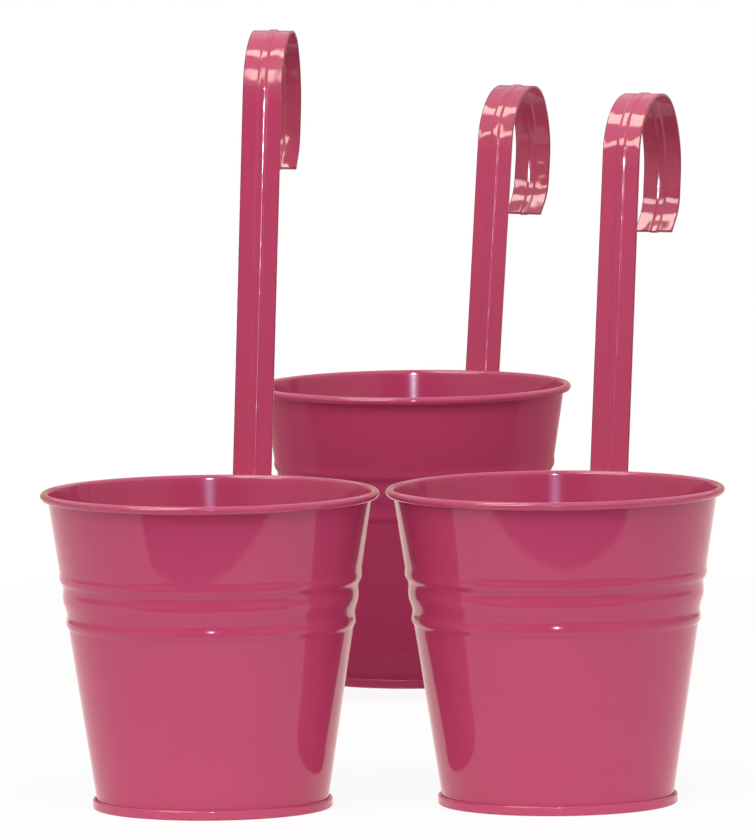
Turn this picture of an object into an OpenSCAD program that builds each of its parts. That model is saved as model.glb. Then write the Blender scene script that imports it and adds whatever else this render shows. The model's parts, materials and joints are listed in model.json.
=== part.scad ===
// Three painted steel pail planters with slide-on rail hooks.
// Each pail stands on its base seam; its hook is a strap that slides in two
// keepers riveted to the back of the wall. +Z is up and the hooks are at the back.

/* [Pail] */
// Outer width over the rolled rim
rim_d = 160; // [130:1:200]
// Height from the floor to the top of the rim
pail_h = 150; // [135:1:200]
// Outer width of the wall just above the base seam
base_d = 110; // [90:1:130]
// Thickness of the steel sheet of the wall and the base
sheet_t = 0.5; // [0.4:0.05:0.7]
// Outer width of the rolled rim's tube
curl_d = 3.9; // [3.2:0.1:6]
// Width of the drain hole in the base
drain_d = 9; // [5:0.5:16]

/* [Beads] */
// Depth from the top of the rim to the top of the rolled beads
bead_drop = 37; // [34:0.5:60]
// Height of the band that the three beads fill
bead_band = 28.4; // [20:0.2:40]
// How far the beads stand out at most
bead_depth = 1; // [0.4:0.1:1.4]

/* [Base seam] */
// Height of the double seam round the base
seam_h = 4.6; // [4:0.1:7]
// Height of the base panel's underside above the floor
recess_h = 4.2; // [2.6:0.1:8]

/* [Hook] */
// Width of the hook strap
strap_w = 19; // [14:0.5:24]
// Thickness of the hook strap
strap_t = 1.2; // [0.8:0.1:2]
// Width of the bead pressed along the strap
rib_w = 5; // [4:0.5:8]
// Height of that bead above the flat of the strap
rib_h = 0.5; // [0.3:0.1:1.2]
// Height of the hook over the rim when it is pulled right up
hook_rise = 208.5; // [150:0.5:260]
// Radius of the hook's front bend
front_bend_r = 30; // [20:1:40]
// Radius of the bend over the rear of the hook
rear_bend_r = 18.5; // [14:0.5:30]
// Radius of the curve down the back of the hook
back_bend_r = 45; // [35:1:70]
// Straight length between that curve and the tip's bend
back_len = 10; // [4:1:30]
// Radius of the bend at the hook's tip
tip_bend_r = 20; // [12:1:30]
// Straight length at the hook's tip
tip_len = 8; // [3:0.5:16]

/* [Keepers] */
// Height of each keeper along the wall
keeper_h = 11; // [8:0.5:16]
// Thickness of the keeper strip
keeper_t = 1; // [0.8:0.1:1.5]
// Width of each keeper ear beside the strap
ear_w = 11; // [8:0.5:16]
// Width of the rivet shanks
rivet_d = 3.2; // [2.4:0.2:4]

/* [Arrangement] */
// Sideways gap between the rims of the two front planters
front_gap = 3; // [1:0.5:60]
// How far the right planter stands behind the left one
right_back = 4.5; // [0:0.5:40]
// Gap from the left planter's rim back to the rear planter's
rear_gap = 390; // [100:1:440]
// How far the rear planter stands to the right of the middle
rear_shift = 16.5; // [-40:0.5:40]
// How far the right planter's hook is pushed down
right_hook_down = 32; // [0:0.5:60]
// How far the rear planter's hook is pushed down
rear_hook_down = 65.5; // [0:0.5:66]

/* [Hidden] */
$fn = 96;

// Paint colours of the plain model.
wall_paint = "#BF5072";
strap_paint = "#B83E62";
base_paint = "#A84064";
rivet_paint = "#C25C7C";

// Turn of each planter about its own upright axis, in degrees.
left_turn = 13.8;
right_turn = 19.1;
rear_turn = 25.9;

// Twist of each strap's free length, in degrees from its keepers to its hook.
left_twist = -4;
right_twist = 4;
rear_twist = -3.5;

// Overrun of every cut past the face that it opens.
cut = 1;

// Gap between sheets that lie on each other, such as the layers of the seam.
seat_gap = 0.06;
// Gap left at the ends of the two folds inside the seam.
fold_end_gap = 0.2;
// Radius of the seam's foot corners and of the base panel's edge.
foot_bend_r = 0.6;
panel_bend_r = 1.3;
// Plain height between the seam and the start of the wall's slope.
neck_h = 0.6;
// Turn of the rolled rim, in degrees.
curl_turn = 300;

// Flanks of the beads from the bottom up, as shares of the band's height, and
// how far the wall stands out between them, as shares of the bead's depth.
flank_shares = [0.11, 0.115, 0.295, 0.21, 0.13, 0.14];
stand_shares = [0, 0.9, -0.5, 0.5, -0.4, 0.6, 0];

// Headings where the hook's bends end, in degrees from upright over the top.
crest_heading = 90;
rear_heading = 147;
back_heading = 189;
tip_heading = 225;

// Gap between the strap and the keepers that it slides in.
slide_gap = 0.4;
// Gap between the strap and the rim that it passes.
rim_gap = 0.4;
// Gap at the strap's stop when the hook is pulled right up.
stop_gap = 0.3;
// Inside radius of the strap's bent lower end, and its straight length.
lip_bend_r = 0.8;
lip_len = 3;
// Inside radius of the keeper's bends.
keeper_bend_r = 0.5;
// Distance from the beads to the lower keeper.
keeper_drop = 1.5;

// Rivet heads: the round outer head and the flat head inside the pail.
rivet_head_d = 6.4;
rivet_head_h = 1.5;
rivet_tail_d = 4.8;
rivet_tail_h = 1.1;
rivet_tail_edge = 0.3;

// Share of the strap's bead that each of its two flanks takes.
rib_flank_share = 0.28;

// Smoothness of the drawn curves: steps in a bend, a bead flank, a flank of the
// strap's bead and the twist of the strap's free length.
bend_steps = 20;
fold_steps = 10;
flank_steps = 6;
rib_steps = 3;
twist_steps = 8;
// Most degrees that the strap turns between two of its rings.
strap_turn = 8.5;

// Wall section.

// Distance between two layers of the seam, middle to middle.
layer = sheet_t + seat_gap;
// Middle of the wall's sheet at the base.
wall_r = base_d / 2 - sheet_t / 2;
// Centre heights of the two folds inside the seam.
low_fold_z = sheet_t + seat_gap + layer + sheet_t / 2;
high_fold_z = seam_h - sheet_t / 2 - layer;
neck_z = seam_h + neck_h;

// The rolled rim: its centre and the radius of the middle of its sheet.
curl_r = (curl_d - sheet_t) / 2;
curl_x = rim_d / 2 - curl_d / 2;
curl_z = pail_h - curl_d / 2;

// Slope and length of the wall between the neck and the rolled rim.
curl_reach = norm([curl_x - wall_r, curl_z - neck_z]);
lean = atan2(curl_x - wall_r, curl_z - neck_z) - asin(curl_r / curl_reach);

// Distances along the slope of a height, and of the ends of the bead band.
function slope_at(z) = (z - neck_z) / cos(lean);
band_top = slope_at(pail_h - bead_drop);
band_low = slope_at(pail_h - bead_drop - bead_band);

// Sum of the first n shares of a list.
function share_sum(shares, n) = n == 0 ? 0 : shares[n - 1] + share_sum(shares, n - 1);

// Point on the wall's middle line, at a distance up the slope and out from it.
function side_point(up, out) = [
    wall_r + up * sin(lean) + out * cos(lean),
    neck_z + up * cos(lean) - out * sin(lean)
];

// Stations of a bend that turns to the right, from one heading to another.
function right_bend(x, z, r, from, to, steps) = [
    for (i = [0:steps])
        let (h = from + (to - from) * i / steps)
        [x - r * cos(h), z + r * sin(h), h]
];

// Stations of a bend that turns to the left.
function left_bend(x, z, r, from, to, steps) = [
    for (i = [0:steps])
        let (h = from + (to - from) * i / steps)
        [x + r * cos(h), z - r * sin(h), h]
];

// Stations of one flank of a bead: a smooth step from one stand-out to the next.
function flank(i) = [
    for (j = [0:flank_steps - 1])
        let (
            low = band_low + (band_top - band_low) * share_sum(flank_shares, i),
            len = (band_top - band_low) * flank_shares[i],
            t = j / flank_steps,
            start = bead_depth * stand_shares[i],
            step = bead_depth * (stand_shares[i + 1] - stand_shares[i]),
            p = side_point(low + len * t, start + step * (1 - cos(180 * t)) / 2),
            rate = step * PI / 2 * sin(180 * t) / len
        )
        [p[0], p[1], lean + atan(rate)]
];

// Outline of a sheet of thickness t along a line of stations [x, z, heading].
function sheet_outline(line, t) = concat(
    [for (s = line) [s[0] - cos(s[2]) * t / 2, s[1] + sin(s[2]) * t / 2]],
    [for (i = [len(line) - 1:-1:0])
        let (s = line[i])
        [s[0] + cos(s[2]) * t / 2, s[1] - sin(s[2]) * t / 2]]
);

// The wall: from the folded hook in the seam, up the side and round the rim.
wall_line = concat(
    [[wall_r + 2 * layer, high_fold_z - fold_end_gap, 180]],
    right_bend(wall_r + layer, low_fold_z, layer, 180, 360, fold_steps),
    [[wall_r, neck_z, lean / 2]],
    [for (i = [0:len(flank_shares) - 1]) each flank(i)],
    [[side_point(band_top, 0)[0], side_point(band_top, 0)[1], lean]],
    right_bend(curl_x, curl_z, curl_r, lean, lean + curl_turn, bend_steps)
);

// The base: from the drain hole out, down inside the wall and round the seam.
pan_line = concat(
    [[drain_d / 2, recess_h + sheet_t / 2, 90]],
    right_bend(wall_r - layer - panel_bend_r, recess_h + sheet_t / 2 - panel_bend_r,
        panel_bend_r, 90, 180, fold_steps),
    left_bend(wall_r - layer + foot_bend_r, sheet_t / 2 + foot_bend_r,
        foot_bend_r, 180, 90, fold_steps),
    left_bend(wall_r + 3 * layer - foot_bend_r, sheet_t / 2 + foot_bend_r,
        foot_bend_r, 90, 0, fold_steps),
    left_bend(wall_r + 2 * layer, high_fold_z, layer, 0, -180, fold_steps),
    [[wall_r + layer, low_fold_z + fold_end_gap, -180]]
);

// Keepers and strap, placed from the wall's middle line.

// Where a keeper lies on the wall, and the middle of the strap's flat.
seat_out = sheet_t / 2 + seat_gap;
strap_out = curl_r + curl_d / 2 + rim_gap + rib_h + strap_t / 2;
slot_half = strap_w / 2 + slide_gap;
bridge_out = strap_out + strap_t / 2 + slide_gap;
ear_reach = slot_half + keeper_t + ear_w;
rivet_side = slot_half + keeper_t + ear_w / 2;

// Heights of the keepers up the slope: one over the beads, one under them.
upper_keeper_up = (band_top + slope_at(pail_h - curl_d)) / 2;
lower_keeper_up = band_low - keeper_drop - keeper_h / 2;

// The strap's lower end is bent out and stops under the lower keeper.
lip_r = lip_bend_r + strap_t / 2;
lip_catch = max(lip_bend_r - slide_gap, 0);
lip_fall = sqrt(lip_bend_r * lip_bend_r - lip_catch * lip_catch);
strap_low_up = lower_keeper_up - keeper_h / 2 - stop_gap + lip_fall;

// Centres of the hook's four bends, with the hook pulled right up.
hook_top_z = pail_h + hook_rise - rib_h - strap_t / 2;
front_z = hook_top_z - front_bend_r;
strap_top_up = (front_z + front_bend_r * sin(lean) - neck_z + strap_out * sin(lean)) / cos(lean);
front_y = side_point(strap_top_up, strap_out)[0] + front_bend_r * cos(lean);
rear_y = front_y;
rear_z = hook_top_z - rear_bend_r;
back_y = rear_y + (rear_bend_r - back_bend_r) * -cos(rear_heading);
back_z = rear_z + (rear_bend_r - back_bend_r) * sin(rear_heading);
tip_y = back_y + (tip_bend_r - back_bend_r) * cos(back_heading) + back_len * sin(back_heading);
tip_z = back_z + (back_bend_r - tip_bend_r) * sin(back_heading) + back_len * cos(back_heading);

// The strap's end: the last of the tip's bend, moved on by the straight tip.
end_y = tip_y - tip_bend_r * cos(tip_heading) + tip_len * sin(tip_heading);
end_z = tip_z + tip_bend_r * sin(tip_heading) + tip_len * cos(tip_heading);

// One flank of the strap's bead, up on the left side and down on the right.
rib_flank = rib_w * rib_flank_share;
function rib_side(side) = [
    for (i = [0:rib_steps])
        let (
            t = i / rib_steps,
            rise = side < 0 ? t : 1 - t,
            across = side < 0 ? -rib_w / 2 + rib_flank * t : rib_w / 2 - rib_flank * (1 - t),
            rate = rib_h * PI / 2 / rib_flank * sin(180 * rise)
        )
        [rib_h * (1 - cos(180 * rise)) / 2, across, -side * atan(rate)]
];

// Half section of the strap: flat edges and a flat-topped bead along the middle.
rib_line = concat(
    [[0, -strap_w / 2, 0]],
    rib_side(-1),
    rib_side(1),
    [[0, strap_w / 2, 0]]
);

// A bend of the strap, with a station at least every strap_turn degrees.
function strap_bend(y, z, r, from, to) =
    right_bend(y, z, r, from, to, ceil((to - from) / strap_turn));

// The list without its first entry.
function tail(list) = [for (i = [1:len(list) - 1]) list[i]];

// Middle of the strap's flat from its bent lower end to over its lowest place in
// the keepers, where it isn't twisted.
strap_foot = concat(
    [[
        side_point(strap_low_up - lip_r, strap_out + lip_r + lip_len)[0],
        side_point(strap_low_up - lip_r, strap_out + lip_r + lip_len)[1],
        lean - 90
    ]],
    strap_bend(side_point(strap_low_up, strap_out + lip_r)[0],
        side_point(strap_low_up, strap_out + lip_r)[1], lip_r, lean - 90, lean)
);

// The same from the start of the twist to the start of the front bend.
twist_low_up = slope_at(pail_h) + strap_low_up;
strap_free = [
    for (i = [0:twist_steps - 1])
        let (p = side_point(twist_low_up + (strap_top_up - twist_low_up) * i / twist_steps, strap_out))
        [p[0], p[1], lean]
];

// The same from the front bend over to the tip, twisted all alike.
strap_hook = concat(
    strap_bend(front_y, front_z, front_bend_r, lean, crest_heading),
    tail(strap_bend(rear_y, rear_z, rear_bend_r, crest_heading, rear_heading)),
    tail(strap_bend(back_y, back_z, back_bend_r, rear_heading, back_heading)),
    strap_bend(tip_y, tip_z, tip_bend_r, back_heading, tip_heading),
    [[end_y, end_z, tip_heading]]
);
strap_line = concat(strap_foot, strap_free, strap_hook);

// Share of the whole twist at each station of the strap.
twist_shares = concat(
    [for (s = strap_foot) 0],
    [for (i = [0:twist_steps - 1]) (1 - cos(180 * i / twist_steps)) / 2],
    [for (s = strap_hook) 1]
);

// A point turned about the straight strap's middle line, which it is out from.
function twisted(p, turn) =
    let (
        foot = side_point(0, strap_out),
        along = (p[1] - foot[0]) * sin(lean) + (p[2] - foot[1]) * cos(lean),
        out = (p[1] - foot[0]) * cos(lean) - (p[2] - foot[1]) * sin(lean),
        swung = out * cos(turn) - p[0] * sin(turn)
    )
    [
        p[0] * cos(turn) + out * sin(turn),
        foot[0] + along * sin(lean) + swung * cos(lean),
        foot[1] + along * cos(lean) - swung * sin(lean)
    ];

// The three planters' places.

// Distances between the planters' middles, sideways and to the rear.
front_pitch = rim_d + front_gap;
rear_back = rim_d + rear_gap;

// The group's middle is worked out, so that the origin is at its centre: the
// rear planter's hook reaches furthest back with the left edge of its back curve.
hook_far = twisted([-strap_w / 2, back_y + back_bend_r + strap_t / 2, back_z], rear_twist);
hook_far_y = hook_far[1] - rear_hook_down * sin(lean);
group_far = rear_back + hook_far_y * cos(rear_turn) - hook_far[0] * sin(rear_turn);
group_mid = (group_far - rim_d / 2) / 2;

// Shared shapes.

// Puts its children on the wall's middle line at the back of the pail.
// There X runs sideways, Y straight out of the wall and Z up the slope.
module on_wall(up) {
    translate([0, side_point(up, 0)[0], side_point(up, 0)[1]])
        rotate([-lean, 0, 0])
            children();
}

// The cone band between two distances out of the wall's middle line.
module side_band(low, high, inner, outer) {
    rotate_extrude()
        polygon([
            side_point(low, inner), side_point(high, inner),
            side_point(high, outer), side_point(low, outer)
        ]);
}

// Everything inside a distance out of the wall's middle line.
module side_core(low, high, outer) {
    rotate_extrude()
        polygon([
            [0, side_point(low, outer)[1]], side_point(low, outer),
            side_point(high, outer), [0, side_point(high, outer)[1]]
        ]);
}

// Puts its children where the two rivets of a keeper go.
module at_rivets(up) {
    swing = asin(rivet_side / side_point(up, seat_out)[0]);
    for (side = [-1, 1])
        rotate([0, 0, side * swing])
            on_wall(up)
                rotate([-90, 0, 0])
                    children();
}

// Holes for the rivets, through the wall and the keeper's ears.
module rivet_holes(up) {
    at_rivets(up)
        translate([0, 0, -sheet_t - cut])
            cylinder(h = sheet_t + keeper_t + 2 * cut + seat_out, r = rivet_d / 2 + seat_gap);
}

// A block whose two far corners are rounded, open towards the wall.
module arch(half, top, r) {
    translate([-half, 0])
        square([2 * half, top - r]);
    translate([-half + r, 0])
        square([2 * half - 2 * r, top]);
    for (side = [-1, 1])
        translate([side * (half - r), top - r])
            circle(r);
}

// Outline of a keeper seen straight on, with round ends.
module ear_outline() {
    end_r = keeper_h / 2;
    square([2 * (ear_reach - end_r), keeper_h], center = true);
    for (side = [-1, 1])
        translate([side * (ear_reach - end_r), 0])
            circle(end_r);
}

// Pieces of one planter.

module pail_wall() {
    color(wall_paint)
        difference() {
            rotate_extrude()
                polygon(sheet_outline(wall_line, sheet_t));
            rivet_holes(upper_keeper_up);
            rivet_holes(lower_keeper_up);
        }
}

module base_pan() {
    color(base_paint)
        rotate_extrude()
            polygon(sheet_outline(pan_line, sheet_t));
}

// The strap is swept as one solid, so its rib runs on through every bend.
module hook_strap(down, twist) {
    ring = sheet_outline(rib_line, strap_t);
    n = len(ring);
    last = len(strap_line) - 1;
    points = [
        for (i = [0:last])
            let (s = strap_line[i])
            for (p = ring)
                twisted([p[1], s[0] - cos(s[2]) * p[0], s[1] + sin(s[2]) * p[0]], twist * twist_shares[i])
    ];
    sides = [
        for (i = [0:last - 1])
            for (j = [0:n - 1])
                let (a = i * n + j, b = i * n + (j + 1) % n)
                each [[a, b, b + n], [a, b + n, a + n]]
    ];
    low_end = [
        for (j = [0:n / 2 - 2])
            let (k = n - 1 - j)
            each [[j, k, k - 1], [j, k - 1, j + 1]]
    ];
    top_end = [
        for (f = low_end)
            [f[2] + last * n, f[1] + last * n, f[0] + last * n]
    ];
    color(strap_paint)
        translate([0, -down * sin(lean), -down * cos(lean)])
            polyhedron(points, concat(sides, low_end, top_end));
}

module keeper(up) {
    low = up - keeper_h;
    high = up + keeper_h;
    color(strap_paint)
        difference() {
            union() {
                intersection() {
                    side_band(low, high, seat_out, seat_out + keeper_t);
                    on_wall(up)
                        rotate([90, 0, 0])
                            linear_extrude(2 * ear_reach, center = true)
                                ear_outline();
                }
                on_wall(up)
                    translate([0, 0, -keeper_h / 2])
                        linear_extrude(keeper_h)
                            arch(slot_half + keeper_t, bridge_out + keeper_t,
                                keeper_bend_r + keeper_t);
            }
            side_core(low, high, seat_out);
            on_wall(up)
                translate([0, -cut, -keeper_h / 2 - cut])
                    linear_extrude(keeper_h + 2 * cut)
                        arch(slot_half, bridge_out + cut, keeper_bend_r);
            rivet_holes(up);
        }
}

module upper_keeper() {
    keeper(upper_keeper_up);
}

module lower_keeper() {
    keeper(lower_keeper_up);
}

// One rivet, with its middle at the middle of the wall's sheet.
module rivet() {
    head_z = seat_out + keeper_t + seat_gap;
    head_r = rivet_head_d / 2;
    ball_r = (head_r * head_r + rivet_head_h * rivet_head_h) / (2 * rivet_head_h);
    tail_r = rivet_tail_d / 2;
    rotate_extrude() {
        translate([0, -seat_out - rivet_tail_h / 2])
            square([rivet_d / 2, seat_out + rivet_tail_h / 2 + head_z + rivet_head_h / 2]);
        intersection() {
            translate([0, head_z + rivet_head_h - ball_r])
                circle(ball_r);
            translate([0, head_z])
                square([head_r, rivet_head_h]);
        }
        polygon([
            [0, -seat_out], [tail_r, -seat_out],
            [tail_r, -seat_out - rivet_tail_h + rivet_tail_edge],
            [tail_r - rivet_tail_edge, -seat_out - rivet_tail_h],
            [0, -seat_out - rivet_tail_h]
        ]);
    }
}

module upper_rivets() {
    color(rivet_paint)
        at_rivets(upper_keeper_up)
            rivet();
}

module lower_rivets() {
    color(rivet_paint)
        at_rivets(lower_keeper_up)
            rivet();
}

// Placing the planters.

module left_place() {
    translate([-front_pitch / 2, -group_mid, 0])
        rotate([0, 0, -left_turn])
            children();
}

module right_place() {
    translate([front_pitch / 2, right_back - group_mid, 0])
        rotate([0, 0, -right_turn])
            children();
}

module rear_place() {
    translate([rear_shift, rear_back - group_mid, 0])
        rotate([0, 0, -rear_turn])
            children();
}

left_place() pail_wall();  // left_pail_wall
left_place() base_pan();  // left_base_pan
left_place() hook_strap(0, left_twist);  // left_hook_strap
left_place() upper_keeper();  // left_upper_keeper
left_place() lower_keeper();  // left_lower_keeper
left_place() upper_rivets();  // left_upper_rivets
left_place() lower_rivets();  // left_lower_rivets

right_place() pail_wall();  // right_pail_wall
right_place() base_pan();  // right_base_pan
right_place() hook_strap(right_hook_down, right_twist);  // right_hook_strap
right_place() upper_keeper();  // right_upper_keeper
right_place() lower_keeper();  // right_lower_keeper
right_place() upper_rivets();  // right_upper_rivets
right_place() lower_rivets();  // right_lower_rivets

rear_place() pail_wall();  // rear_pail_wall
rear_place() base_pan();  // rear_base_pan
rear_place() hook_strap(rear_hook_down, rear_twist);  // rear_hook_strap
rear_place() upper_keeper();  // rear_upper_keeper
rear_place() lower_keeper();  // rear_lower_keeper
rear_place() upper_rivets();  // rear_upper_rivets
rear_place() lower_rivets();  // rear_lower_rivets
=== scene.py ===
"""Looks of three enamelled pail planters whose hooks slide in keepers at their backs."""

import json
from collections import namedtuple
from math import asin, atan, atan2, ceil, cos, hypot, pi, radians, sin, sqrt, tau

import bmesh
import bpy
from bpy.props import FloatProperty, FloatVectorProperty, PointerProperty
from mathutils import Matrix, Vector


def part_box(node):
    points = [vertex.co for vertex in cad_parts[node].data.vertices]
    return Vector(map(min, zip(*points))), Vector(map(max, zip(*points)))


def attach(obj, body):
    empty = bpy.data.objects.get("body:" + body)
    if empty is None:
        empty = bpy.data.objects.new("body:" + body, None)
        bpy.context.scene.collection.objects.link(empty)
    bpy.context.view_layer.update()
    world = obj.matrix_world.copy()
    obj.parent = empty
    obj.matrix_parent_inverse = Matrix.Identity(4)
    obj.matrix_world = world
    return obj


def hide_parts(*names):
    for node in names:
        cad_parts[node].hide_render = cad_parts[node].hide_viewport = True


bl_info = {
    "name": "Hanging Pail Planters",
    "version": (1, 0, 0),
    "blender": (4, 5, 0),
    "location": "3D View > Sidebar > Planters",
    "description": "Builds enamelled steel pail planters with sliding rail hooks around a fixed frame",
    "category": "Add Mesh",
}

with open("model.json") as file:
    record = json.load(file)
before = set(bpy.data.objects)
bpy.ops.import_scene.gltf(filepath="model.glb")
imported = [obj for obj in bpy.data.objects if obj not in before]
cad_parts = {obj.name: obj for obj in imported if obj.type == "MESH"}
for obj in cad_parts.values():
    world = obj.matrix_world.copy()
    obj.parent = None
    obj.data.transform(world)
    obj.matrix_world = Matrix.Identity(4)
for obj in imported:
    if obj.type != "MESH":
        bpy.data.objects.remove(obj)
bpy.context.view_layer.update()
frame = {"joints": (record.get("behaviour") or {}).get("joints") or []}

MM = 0.001
PLANTERS = ("left", "right", "rear")
LEVELS = ("upper", "lower")


# What the frame says of the planters.

def hook_slide(planter):
    """The direction in which a planter's hook slides, up along the wall, and how far it may go so."""
    joint = next(joint for joint in frame["joints"] if joint["name"] == planter + "_hook_slide")
    return Vector(joint["axis"]), joint["range_m"][1]


def planter_place(planter):
    """From a planter's own frame, with its hook at +Y, to its place in the group."""
    low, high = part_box(planter + "_pail_wall")
    middle = (low + high) / 2
    axis = hook_slide(planter)[0]
    turn = atan2(axis.x, axis.y)
    return Matrix.Translation((middle.x, middle.y, 0)) @ Matrix.Rotation(-turn, 4, "Z")


FIRST_LOW, FIRST_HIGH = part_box("left_pail_wall")
RIM_WIDTH_MM = round((FIRST_HIGH.x - FIRST_LOW.x) / MM, 1)
PAIL_HEIGHT_MM = round(FIRST_HIGH.z / MM, 1)


# Colours.

def linear(code):
    """Linear RGBA of an sRGB hex colour."""
    channels = [int(code[i:i + 2], 16) / 255 for i in (1, 3, 5)]
    return [c / 12.92 if c <= 0.04045 else ((c + 0.055) / 1.055) ** 2.4 for c in channels] + [1]


# Settings that a user would change.

def length(name, text, millimetres):
    """A length of the object, shown in the scene's unit."""
    return FloatProperty(name=name, description=text, default=millimetres * MM, min=0, precision=5,
                         subtype="DISTANCE", unit="LENGTH")


def colour(name, text, code):
    """A colour, written as an sRGB hex value."""
    return FloatVectorProperty(name=name, description=text, default=linear(code), size=4,
                               min=0, max=1, subtype="COLOR")


def brightness(name, text, default):
    """A level of light, where 1 is the white of the background."""
    return FloatProperty(name=name, description="Level of " + text, default=default, min=0)


class PailSizes(bpy.types.PropertyGroup):
    """Sizes of the sheet steel pail and its base."""
    rim_width: length("Rim width", "Outer width over the rolled rim", RIM_WIDTH_MM)
    height: length("Height", "Floor to the top of the rim", PAIL_HEIGHT_MM)
    base_width: length("Base width", "Outer width of the wall just above the base seam", 110)
    sheet: length("Sheet", "Thickness of the steel sheet", 0.5)
    rim_tube: length("Rim tube", "Outer width of the rolled rim's tube", 3.9)
    drain: length("Drain hole", "Width of the drain hole in the base", 9)
    seam_height: length("Seam height", "Height of the double seam round the base", 4.6)
    recess: length("Recess", "Height of the base panel's underside", 4.2)
    bead_drop: length("Bead drop", "Rim top to the top of the rolled beads", 37)
    bead_band: length("Bead band", "Height of the band of three beads", 28.4)
    bead_depth: length("Bead depth", "How far the beads stand out at most", 1)
    waviness: length("Waviness", "How far the sheet strays from a true cone between rim and seam", 0.05)


class HookSizes(bpy.types.PropertyGroup):
    """Sizes of the strap and of the hook that it is bent to."""
    width: length("Strap width", "Width of the strap", 19)
    thickness: length("Strap thickness", "Thickness of the strap", 1.2)
    rib_width: length("Rib width", "Width of the bead pressed along the strap", 5)
    rib_height: length("Rib height", "Height of the bead over the strap's flats", 0.5)
    rise: length("Rise", "Height of the hook over the rim, pulled right up", 208.5)
    front_bend: length("Front bend", "Radius of the front bend", 30)
    rear_bend: length("Rear bend", "Radius of the bend over the rear", 18.5)
    back_bend: length("Back bend", "Radius of the curve down the back", 45)
    back_length: length("Back length", "Straight length under the back curve", 10)
    tip_bend: length("Tip bend", "Radius of the bend at the tip", 20)
    tip_length: length("Tip length", "Straight length at the tip", 8)
    edge: length("Edge", "Rounding of the painted edges", 0.4)


class KeeperSizes(bpy.types.PropertyGroup):
    """Sizes of the keepers and of their rivets."""
    height: length("Keeper height", "Height of a keeper along the wall", 11)
    thickness: length("Keeper thickness", "Thickness of the keeper strip", 1)
    ear: length("Ear width", "Width of each ear beside the strap", 11)
    rivet: length("Rivet shank", "Width of a rivet's shank", 3.2)
    head_width: length("Rivet head", "Width of the round outer head", 6.4)
    head_height: length("Head height", "Height of the round outer head", 1.5)
    tail_width: length("Rivet tail", "Width of the flat head inside the pail", 4.8)
    tail_height: length("Tail height", "Height of the flat head inside the pail", 1.1)


class PaintColours(bpy.types.PropertyGroup):
    """Colours of the fuchsia enamel on each kind of piece."""
    wall: colour("Wall", "Enamel of the pail wall", "#BB436E")
    strap: colour("Strap", "Enamel of the hook strap and the keepers", "#BE436C")
    base: colour("Base", "Enamel of the base", "#BE4670")
    rivet: colour("Rivets", "Enamel over the rivets", "#BE4770")


class StudioLevels(bpy.types.PropertyGroup):
    """Brightness of the studio's lights."""
    ambient: brightness("Ambient", "the light from all round", 0.62)
    key: brightness("Key", "the soft panel in front", 4.8)
    window: brightness("Window", "the panel at the left", 1.45)
    panes: brightness("Panes", "the panes seen in the gloss", 12)
    flash: brightness("Flash", "the glints of a small flash", 3)
    glow: brightness("Glow", "the violet glow under the flash", 3)


GROUPS = {
    "planter_pail": PailSizes,
    "planter_hook": HookSizes,
    "planter_keeper": KeeperSizes,
    "planter_paint": PaintColours,
    "planter_studio": StudioLevels,
}


# Meshes.

Station = namedtuple("Station", "across up heading")
Corner = namedtuple("Corner", "across up worked")

BEND_STEPS = 32
FOLD_STEPS = 16
FLANK_STEPS = 14
STRAIGHT_STEPS = 12
EDGE_STEPS = 4
RIB_STEPS = 6
TWIST_STEPS = 16
ROUND_STEPS = 240
RIVET_STEPS = 40
KEEPER_STEPS = 16
EAR_STEPS = 10
STRAP_TURN = radians(3)
LEAST_EDGE = 0.01 * MM
WELD = 0.0001 * MM

# Rounding of the keepers' edges and the rivets' tails, as shares of their thickness.
KEEPER_EDGE_SHARE = 0.35
TAIL_EDGE_SHARE = 0.25
# The sheet strays from a true cone in two sets of waves round it, shifted from pail to pail.
FEW_WAVES = 3
MANY_WAVES = 7
WAVE_SHIFT = 2
WAVE_RISE = 20 * MM
# Twist of each strap's free length between its keepers and its hook.
TWISTS = {"left": radians(-4), "right": radians(4), "rear": radians(-3.5)}
# How far the strap's bends and the rolled rim count as worked, where a cut edge counts in full. On the
# rolled rim the paler tone that this brings is a painted highlight.
BEND_WORK = 0.25
ROLL_WORK_AND_HIGHLIGHT = 0.15


def spread(start, end, steps):
    """Evenly spaced values, with both ends."""
    return [start + (end - start) * i / steps for i in range(steps + 1)]


def smooth(t):
    """A smooth step from 0 to 1 as t goes from 0 to 1."""
    return (1 - cos(pi * t)) / 2


def bend(across, up, radius, start, end, steps, side=1):
    """Stations round a bend from one heading to another; side is -1 where it turns left."""
    return [Station(across - side * radius * cos(h), up + side * radius * sin(h), h)
            for h in spread(start, end, steps)]


def straight(first, last, steps):
    """Stations between two others on the straight line that joins them."""
    heading = atan2(last.across - first.across, last.up - first.up)
    return [Station(first.across + (last.across - first.across) * t,
                    first.up + (last.up - first.up) * t, heading)
            for t in map(smooth, spread(0, 1, steps)[1:-1])]


def joined(*runs):
    """One line from several runs, with straight stretches between them."""
    line = list(runs[0])
    for run in runs[1:]:
        line += straight(line[-1], run[0], STRAIGHT_STEPS) + list(run)
    return line


def end_corners(station, forward, thickness, edge):
    """The rounded end of a sheet: forward is 1 at its last station and -1 at its first."""
    along = Vector((sin(station.heading), cos(station.heading))) * forward
    left = Vector((-cos(station.heading), sin(station.heading))) * forward
    middle = Vector((station.across, station.up)) - along * edge
    corners = []
    for side, first, last in ((1, left, along), (-1, along, -left)):
        centre = middle + left * side * (thickness / 2 - edge)
        for turn in spread(0, pi / 2, EDGE_STEPS):
            point = centre + (first * cos(turn) + last * sin(turn)) * edge
            corners.append(Corner(point.x, point.y, 1))
    return corners


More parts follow.
